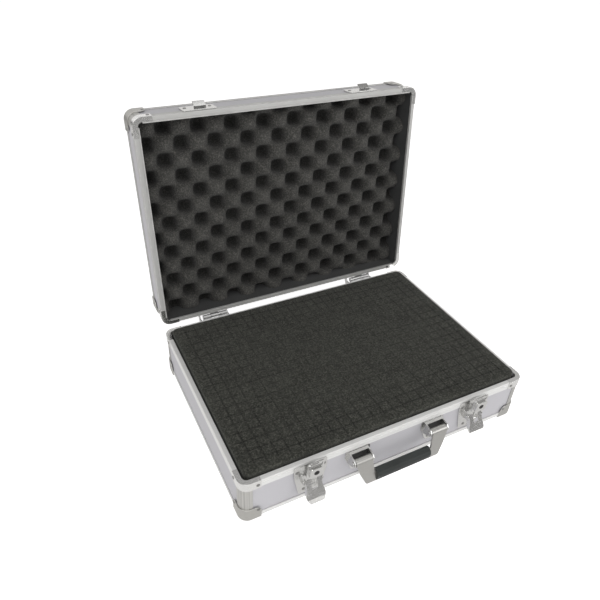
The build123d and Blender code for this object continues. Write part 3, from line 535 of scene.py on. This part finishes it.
# %% [markdown]
# Foam is thousands of open cells. At arm's length they read as a dark, dull surface with pale specks
# where a cell wall catches the light, and as a fine roughness in the shading. The cells could be
# real holes, but there would be millions. The group makes a cell pattern for the relief, a sharp
# noise for the specks and a soft one for patches of tone.

# %% Foam cells
cells, cells_in, cells_out = group(
    "foam_cells",
    [("Cell size", "NodeSocketFloat", 0.001)],
    [("Height", "NodeSocketFloat"), ("Speck", "NodeSocketFloat"), ("Patch", "NodeSocketFloat")],
)
spot = add(cells, "ShaderNodeTexCoord").outputs["Object"]
cells_per_metre = maths(cells, "DIVIDE", 1.0, cells_in.outputs["Cell size"])
bubbles = add(cells, "ShaderNodeTexVoronoi", {"Vector": spot, "Scale": cells_per_metre})
# A sharp noise whose peaks give the specks, painted highlights where cell walls catch the light.
wall_glints = add(
    cells,
    "ShaderNodeTexNoise",
    {"Vector": spot, "Scale": 480.0, "Detail": 2.0, "Roughness": 0.8},
)
patch = add(cells, "ShaderNodeTexNoise", {"Vector": spot, "Scale": 45.0, "Detail": 4.0})
feed(
    cells,
    cells_out,
    {
        "Height": bubbles.outputs["Distance"],
        "Speck": mapped(cells, wall_glints.outputs["Fac"], start=0.46, end=0.70),
        "Patch": patch.outputs["Fac"],
    },
)
print("group", cells.name)

# %% [markdown]
# The lower and the upper foam use these cells, each with its own grey. A deep place in foam swallows
# light, more than the lights alone would show, so both meshes carry an attribute named painted_shade.
# It is 0 on the open surface and rises to 1 in pits and cuts, where it paints shade on the foam and
# its specks. The hidden pad has no such attribute, which reads as 0.

# %% Foam finish
speck_share = 0.6
# The factor on the foam's colour where the painted shade is full.
deepest_shade_factor = 0.3


def foam(name, colour, speck_colour, patch_shade, cell_depth):
    """A foam finish, with pale specks painted as highlights and painted shade in its pits and cuts."""
    made = new_material(name)
    tree = made.node_tree
    open_cells = use(tree, "foam_cells", Cell_size=0.0011)
    tone = spread(tree, open_cells.outputs["Patch"], 1 - patch_shade, 1 + patch_shade)
    painted_shade = add(tree, "ShaderNodeAttribute", attribute_name="painted_shade").outputs["Fac"]
    # Painted shade: the colour darkens where the painted_shade attribute rises, in pits and cuts.
    sunk_and_shaded = mapped(tree, painted_shade, start=0.0, end=1.0, low=1.0, high=deepest_shade_factor)
    ground = product(tree, colour, maths(tree, "MULTIPLY", tone, sunk_and_shaded))
    specks = maths(tree, "MULTIPLY", open_cells.outputs["Speck"], speck_share)
    # The specks are painted highlights of cell walls, dimmed by the same painted shade.
    flecked = blended(tree, maths(tree, "MULTIPLY", specks, sunk_and_shaded), ground, speck_colour)
    walls = open_cells.outputs["Height"]
    dull = mapped(tree, walls, start=0.0, end=1.0, low=0.85, high=1.0)
    look_of_it = {
        "Base Color": flecked,
        "Roughness": dull,
        "Specular IOR Level": 0.1,
        "Sheen Weight": 0.08,
        "Sheen Roughness": 0.6,
        "Normal": relief(tree, walls, cell_depth),
    }
    feed(tree, tree.nodes["Principled BSDF"], look_of_it)
    return made


finishes["pluck_foam"] = foam(
    "pluck_foam", (0.0275, 0.0285, 0.0237), (0.14, 0.14, 0.12), patch_shade=0.2, cell_depth=0.0006
)
finishes["egg_foam"] = foam(
    "egg_foam", (0.042, 0.042, 0.039), (0.16, 0.152, 0.14), patch_shade=0.25, cell_depth=0.0007
)
print("foam finishes ready")

# %% [markdown]
# Every CAD node that stays gets its finish now. A list of all the names could be kept by hand, but
# the words in a node's name already say what it is, so a short function reads the finish from them.
# Rails and posts of the lid use the finish whose grain is turned with the lid, and the lid's rails
# are also painted darker, as shade.

# %% Finish each CAD node
def finish_for(name):
    """The finish of a CAD node, from the words in its name."""
    in_lid = name.startswith("lid_")
    if name.endswith("_panel"):
        return "sheet"
    if "rim_frame" in name or "edge_frame" in name:
        # The lid's rails take the darker copy, painted shade.
        return "lid_shaded_rail" if in_lid else "rail"
    if "corner_posts" in name:
        return "lid_post" if in_lid else "post"
    if "corner_caps" in name:
        return "ball_corner"
    if name.endswith("rivets"):
        return "rivet_steel"
    if name.endswith("lining"):
        return "lining"
    if name.startswith("hinge"):
        return "hinge_steel"
    if name == "handle_bail":
        return "satin_plate"
    if name == "handle_grip":
        return "grip_plastic"
    if name == "handle_buffers":
        return "rubber"
    # Painted shade: key barrels are near black, as a shaded keyhole.
    if name.startswith("lock_barrel"):
        return "keyhole_shade_barrel"
    # Painted light: rim brackets and latch levers take a lighter copy of bright plate.
    if "rim_brackets" in name or name.startswith("latch_lever"):
        return "lit_copy_of_bright_plate"
    return "bright_plate"


def dress(piece, finish):
    """Give a piece one finish in its only material slot."""
    piece.data.materials.clear()
    piece.data.materials.append(finishes[finish])


for name, node in nodes.items():
    dress(node, finish_for(name))
print("dressed", len(nodes), "nodes")

# %% [markdown]
# Every new piece is finished in the same way, so the steps stand in one function: the mesh is
# smoothed except at its sharp corners, dressed, and set to ride on the body that it belongs to. CAD
# meshes are loose triangles. Before one is reshaped, its points are merged and its flat areas are
# joined again, so that only its real edges are left.

# %% From a bmesh to a finished piece
merge_distance = 0.000002
joined_angle = math.radians(0.5)


def finished_piece(name, shape, body, finish, smooth_angle=35):
    """Turn a bmesh into a piece that rides on a body and has a finish."""
    mesh = bpy.data.meshes.new(name)
    for face in shape.faces:
        face.smooth = True
    shape.to_mesh(mesh)
    shape.free()
    mesh.set_sharp_from_angle(angle=math.radians(smooth_angle))
    piece = new_object(name, mesh)
    dress(piece, finish)
    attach(piece, body)
    return piece


def joined_copy(mesh):
    """A bmesh copy of a CAD mesh, with its triangles joined into flat faces."""
    shape = bmesh.new()
    shape.from_mesh(mesh)
    bmesh.ops.remove_doubles(shape, verts=shape.verts[:], dist=merge_distance)
    bmesh.ops.dissolve_limit(
        shape, angle_limit=joined_angle, verts=shape.verts[:], edges=shape.edges[:]
    )
    return shape


def rounded(shape, edges, width, segments, clamp=False):
    """Round some edges of a bmesh by a width, and return the new faces."""
    result = bmesh.ops.bevel(
        shape,
        geom=edges,
        offset=width,
        offset_type="OFFSET",
        affect="EDGES",
        segments=segments,
        profile=0.5,
        material=-1,
        clamp_overlap=clamp,
    )
    return result["faces"]


# %% [markdown]
# Real pressed and drawn parts have no knife-sharp corners. A Bevel modifier could round them, but it
# can't mark what it made. So the sharp edges of a joined copy get a small bevel of two segments here,
# and its new faces are marked in the edge attribute for the wear group. The copy then stands for the
# CAD node. The widths run from 0.2 mm on posts and pins to 0.6 mm on the moulded grip.

# %% Softened copies of the metal pieces
sharp_angle = math.radians(28)
bevel_segments = 2


def softened(name, width):
    """Stand a copy with rounded edges in for a CAD node."""
    shape = joined_copy(nodes[name].data)
    layer = shape.faces.layers.float.new("edge")
    sharp = [e for e in shape.edges if e.is_manifold and e.calc_face_angle(0) > sharp_angle]
    for face in rounded(shape, sharp, width, bevel_segments, clamp=True):
        face[layer] = 1.0
    body = nodes[name]["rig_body"]
    piece = finished_piece(name + "_soft", shape, body, finish_for(name))
    weighted = piece.modifiers.new("flat_faces_stay_flat", "WEIGHTED_NORMAL")
    weighted.keep_sharp = True
    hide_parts(name)


edge_widths = {
    "corner_posts": 0.0002,
    "rim_frame": 0.00025,
    "edge_frame": 0.0003,
    "corner_caps": 0.0004,
    "rim_brackets": 0.0003,
    "_panel": 0.0004,
    "hinge": 0.0003,
    "latch_plate": 0.0004,
    "latch_lever": 0.0003,
    "latch_claw": 0.0003,
    "latch_pivots": 0.0003,
    "claw_pin": 0.0002,
    "lock_barrel": 0.0002,
    "strike": 0.0003,
    "handle_bail": 0.0005,
    "handle_hasp": 0.0005,
    "handle_pins": 0.0004,
    "handle_grip": 0.0006,
    "handle_buffers": 0.0002,
}
softened_count = 0
for name in sorted(nodes):
    widths = [width for word, width in edge_widths.items() if word in name]
    if widths and not name.endswith("rivets"):
        softened(name, widths[0])
        softened_count += 1
print("softened", softened_count, "pieces")

# %% [markdown]
# The rivets are small set heads. The half outline of a dome is spun about its axis, at the radius
# and height of each rivet of the CAD model, and laid on that rivet. The CAD rivets are loose solids
# in one node, so their places are found by walking over each connected island of its mesh. Places
# typed in by hand would be wrong as soon as the case changed.

# %% Rivet heads
dome_steps = 20
# Each point of the outline is a share of the radius and a share of the height. The first two make
# the shallow dimple that the setting tool leaves.
dome_outline = [
    (0.0, 0.86),
    (0.22, 0.88),
    (0.36, 1.0),
    (0.6, 0.92),
    (0.82, 0.7),
    (0.97, 0.34),
    (1.0, 0.0),
]


def islands(shape):
    """The connected parts of a bmesh, each as a list of faces."""
    left = set(shape.faces)
    found = []
    while left:
        wave = [left.pop()]
        part = []
        while wave:
            face = wave.pop()
            part.append(face)
            for edge in face.edges:
                for other in edge.link_faces:
                    if other in left:
                        left.remove(other)
                        wave.append(other)
        found.append(part)
    return found


def rivet_dome(radius, height):
    """One domed head that stands on the XY plane."""
    shape = bmesh.new()
    verts = [shape.verts.new((radius * x, 0, height * z)) for x, z in dome_outline]
    edges = [shape.edges.new(pair) for pair in zip(verts, verts[1:])]
    bmesh.ops.spin(
        shape,
        geom=verts + edges,
        cent=(0, 0, 0),
        axis=(0, 0, 1),
        angle=math.tau,
        steps=dome_steps,
        use_merge=True,
    )
    bmesh.ops.remove_doubles(shape, verts=shape.verts[:], dist=merge_distance)
    rim = [edge for edge in shape.edges if edge.is_boundary]
    bmesh.ops.contextual_create(shape, geom=rim)
    bmesh.ops.recalc_face_normals(shape, faces=shape.faces[:])
    return shape


def domed_rivets(name):
    """Lay a dome on each rivet of a CAD node, and return how many there are."""
    source = joined_copy(nodes[name].data)
    found = islands(source)
    whole = bmesh.new()
    for part in found:
        seat = max(part, key=lambda face: face.calc_area())
        outwards = -seat.normal
        centre = seat.calc_center_median()
        corners = {vert for face in part for vert in face.verts}
        height = max((vert.co - centre).dot(outwards) for vert in corners)
        radius = max((vert.co - centre).cross(outwards).length for vert in corners)
        dome = rivet_dome(radius, height)
        turn = outwards.to_track_quat("Z", "Y").to_matrix().to_4x4()
        bmesh.ops.transform(dome, matrix=Matrix.Translation(centre) @ turn, verts=dome.verts[:])
        copy = bpy.data.meshes.new("dome")
        dome.to_mesh(copy)
        dome.free()
        whole.from_mesh(copy)
        bpy.data.meshes.remove(copy)
    source.free()
    body = nodes[name]["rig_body"]
    piece = finished_piece(name + "_domed", whole, body, "rivet_steel")
    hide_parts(name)
    return len(found)


rivet_count = sum(domed_rivets(name) for name in sorted(nodes) if name.endswith("rivets"))
print("laid", rivet_count, "rivet heads")

# %% [markdown]
# The lower foam is a block that is cut part of the way through into small posts, so that a user can
# pluck out the shape of a tool. From above it shows as rows of little dimples where the cuts
# cross, with fine lines between them. Bump in the material could draw them, but the shape itself
# should have them. A rounded block is sliced with bisect_plane along each cutting line and a little
# to each side of it, so that points stand exactly where the foam gives way.

# %% Block with cutting lines
hair = 0.1 * mm
slice_tolerance = 0.0000005
cut_pitch = 15 * mm
cut_margin = 17 * mm
cut_steps = (-1.7, -0.8, 0, 0.8, 1.7)
upright_round = 9 * mm
top_round = 2.6 * mm
least_height = 10 * mm


def block_between(low, high):
    """A closed box between two corners, as a bmesh."""
    shape = bmesh.new()
    bmesh.ops.create_cube(shape, size=1)
    bmesh.ops.scale(shape, vec=high - low, verts=shape.verts[:])
    bmesh.ops.translate(shape, vec=(low + high) / 2, verts=shape.verts[:])
    return shape


def slice_at(shape, axis, places):
    """Cut a whole bmesh with planes across one axis."""
    for place in places:
        point, normal = [0, 0, 0], [0, 0, 0]
        point[axis] = place
        normal[axis] = 1
        bmesh.ops.bisect_plane(
            shape,
            geom=shape.verts[:] + shape.edges[:] + shape.faces[:],
            plane_co=point,
            plane_no=normal,
            dist=slice_tolerance,
        )


def cut_lines(low, high):
    """Evenly spaced cutting lines between two edges, inside the margin."""
    span = high - low - 2 * cut_margin
    count = round(span / cut_pitch)
    start = (low + high) / 2 - count * cut_pitch / 2
    return [start + i * cut_pitch for i in range(count + 1)]


low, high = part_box("base_foam")
block = block_between(low, high)
upright = [e for e in block.edges if abs((e.verts[0].co - e.verts[1].co).z) > least_height]
rounded(block, upright, upright_round, segments=8)
top_rim = [e for e in block.edges if all(v.co.z > high.z - hair for v in e.verts)]
rounded(block, top_rim, top_round, segments=4)
lines_x = cut_lines(low.x, high.x)
lines_y = cut_lines(low.y, high.y)
for axis, lines in ((0, lines_x), (1, lines_y)):
    slice_at(block, axis, [line + step * mm for line in lines for step in cut_steps])
print("cutting lines:", len(lines_x), "by", len(lines_y))

# %% [markdown]
# The points on the cuts are pressed down now, and most where two cuts cross. Real foam closes over
# its cuts unevenly, so a smooth noise varies the depth. The same points get their share of the
# painted_shade attribute, painted shade that is full where two cuts cross. Along the lines the painted
# shade is weak in the middle of the block, where the foam holds the cuts shut, and stronger towards
# the sides.

# %% Press the cuts
def swell(point, per_metre):
    """A smooth noise from 0 to 1 at a point."""
    return noise.noise(point * per_metre) * 0.5 + 0.5


def nearest_gap(value, lines):
    """How far a value is from the nearest cutting line."""
    return min(abs(value - line) for line in lines)


beyond_cuts = 2 * mm
crossing_reach = 1.8 * mm
line_reach = 0.9 * mm
crossing_depth = 1.8 * mm
crossing_more = 1.4 * mm
line_depth = 0.25 * mm
line_more = 0.5 * mm
sag = 0.25 * mm
sways_per_metre = 60
# Shares of painted shade in the cuts: in the middle, towards the sides, on a line and beside one.
cut_shade_in_middle = 0.2
cut_shade_towards_sides = 0.5
line_shade = 0.6
beside_crossing = 0.8
beside_line = 0.2
pressed = 0
painted_shade = block.verts.layers.float.new("painted_shade")
middle = (low + high) / 2
for vert in block.verts:
    if vert.co.z < high.z - hair:
        continue
    if not lines_x[0] - beyond_cuts < vert.co.x < lines_x[-1] + beyond_cuts:
        continue
    if not lines_y[0] - beyond_cuts < vert.co.y < lines_y[-1] + beyond_cuts:
        continue
    gap_x = nearest_gap(vert.co.x, lines_x)
    gap_y = nearest_gap(vert.co.y, lines_y)
    sway = swell(vert.co, sways_per_metre)
    off_x = abs(vert.co.x - middle.x) / (lines_x[-1] - middle.x)
    off_y = abs(vert.co.y - middle.y) / (lines_y[-1] - middle.y)
    cut_shade_share = cut_shade_in_middle + cut_shade_towards_sides * max(off_x, off_y) ** 3
    crossing = gap_x < crossing_reach and gap_y < crossing_reach
    if gap_x < hair and gap_y < hair:
        vert.co.z -= crossing_depth + crossing_more * sway
        vert[painted_shade] = 1.0
        pressed += 1
    elif gap_x < hair or gap_y < hair:
        vert.co.z -= line_depth + line_more * sway
        vert[painted_shade] = cut_shade_share * (1.0 if crossing else line_shade * sway)
        pressed += 1
    else:
        vert.co.z -= sag * sway
        if min(gap_x, gap_y) < line_reach:
            vert[painted_shade] = cut_shade_share * (beside_crossing if crossing else beside_line * sway)
pluck_foam = finished_piece("pluck_foam", block, "base", "pluck_foam", smooth_angle=50)
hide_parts("base_foam")
print("pluck foam:", len(pluck_foam.data.polygons), "faces,", pressed, "pressed points")

# %% [markdown]
# The pad below the block is hidden while the case is packed, but it is a real piece of foam, so it
# gets a softened block of its own. A few slices give its top enough points to sag unevenly.

# %% Foam pad
pad_round = 1.5 * mm
pad_slice = 30 * mm
pad_slice_counts = (12, 8)
pad_sag = 0.3 * mm
low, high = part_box("base_foam_pad")
pad = block_between(low, high)
rounded(pad, pad.edges[:], pad_round, segments=3)
for axis, count in enumerate(pad_slice_counts):
    slice_at(pad, axis, [low[axis] + i * pad_slice for i in range(1, count + 1)])
for vert in pad.verts:
    if vert.co.z > high.z - hair:
        vert.co.z -= pad_sag * swell(vert.co, per_metre=25)
foam_pad = finished_piece("foam_pad", pad, "base", "pluck_foam")
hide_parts("base_foam_pad")
print("foam pad:", len(foam_pad.data.polygons), "faces")

# %% [markdown]
# The lid's foam is convoluted: a slab pressed between rollers and sliced, so that one side has
# rounded peaks and pits like an egg tray. It could be sculpted, but every peak is the same, so it is
# a height field: each point of a fine grid is lifted by the product of two cosines. A power of that
# product gives blunt peaks and rounded square pits, and a small share added to it leaves the pits
# smaller than the peaks. The lattice lies a few degrees askew, as it does when a sheet is cut by
# hand. These are its measures, with the lid shut.

# %% Measures of the egg-crate foam
rim_level = 71.4 * mm
lid_depth = 51 * mm
behind_slab = 7.9 * mm
slab_back = rim_level + lid_depth - behind_slab
tip_level = rim_level + 14 * mm
relief_height = 24 * mm
foam_half_x = 205.5 * mm
foam_half_y = 144.5 * mm
pitch_x = 47.5 * mm
pitch_y = 44.7 * mm
askew = math.radians(3.0)
peak_x = 12.7 * mm
peak_y = -10.0 * mm
peak_share = 0.2


def egg_height(x, y):
    """How far the foam stands above its pits at a place, from 0 to 1."""
    x, y = x - peak_x, y - peak_y
    u = x * math.cos(askew) + y * math.sin(askew)
    v = y * math.cos(askew) - x * math.sin(askew)
    wave = math.cos(math.tau * u / pitch_x) * math.cos(math.tau * v / pitch_y) + peak_share
    reach = 1 + math.copysign(peak_share, wave)
    blunt = math.copysign((abs(wave) / reach) ** 0.5, wave)
    return 0.5 + 0.5 * blunt


print("nearest peaks are", round(math.hypot(pitch_x, pitch_y) / 2 / mm, 1), "mm apart")

# %% [markdown]
# The grid has squares of 1.5 mm and is made with the lid shut, where its peaks point straight down.
# Its border is drawn up to the slab's back and closed there, and the whole is then swung open about
# the hinge, as the lid is. A slow noise lifts it unevenly, because no foam is cut perfectly level.

# %% Egg-crate foam
hinge = next(joint for joint in frame["joints"] if joint["name"] == "lid_hinge")
hinge_point = Vector(hinge["pos_m"])
swing_open = (
    Matrix.Translation(hinge_point)
    @ Matrix.Rotation(-lid_opening, 4, "X")
    @ Matrix.Translation(-hinge_point)
)
wobble_height = 0.4 * mm
wobble_per_metre = 40
pit_shade_gain = 1.3
egg = bmesh.new()
painted_shade = egg.verts.layers.float.new("painted_shade")
bmesh.ops.create_grid(egg, x_segments=274, y_segments=192, size=1)
bmesh.ops.scale(egg, vec=(foam_half_x, foam_half_y, 1), verts=egg.verts[:])
for vert in egg.verts:
    sunk_and_shaded = 1 - egg_height(vert.co.x, vert.co.y)
    flat_place = Vector((vert.co.x, vert.co.y, 0))
    wobble = noise.noise(flat_place * wobble_per_metre) * wobble_height
    vert.co.z = tip_level + wobble_height + sunk_and_shaded * relief_height + wobble
    # Painted shade: the deeper a pit, the darker its colour.
    vert[painted_shade] = min(1.0, sunk_and_shaded * pit_shade_gain)
rim = [edge for edge in egg.edges if edge.is_boundary]
skirt = bmesh.ops.extrude_edge_only(egg, edges=rim)
for item in skirt["geom"]:
    if isinstance(item, bmesh.types.BMVert):
        item.co.z = slab_back
back_rim = [edge for edge in egg.edges if edge.is_boundary]
bmesh.ops.contextual_create(egg, geom=back_rim)
bmesh.ops.recalc_face_normals(egg, faces=egg.faces[:])
bmesh.ops.transform(egg, matrix=swing_open, verts=egg.verts[:])
egg_foam = finished_piece("egg_foam", egg, "lid", "egg_foam", smooth_angle=60)
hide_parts("lid_foam")
print("egg foam:", len(egg_foam.data.polygons), "faces")
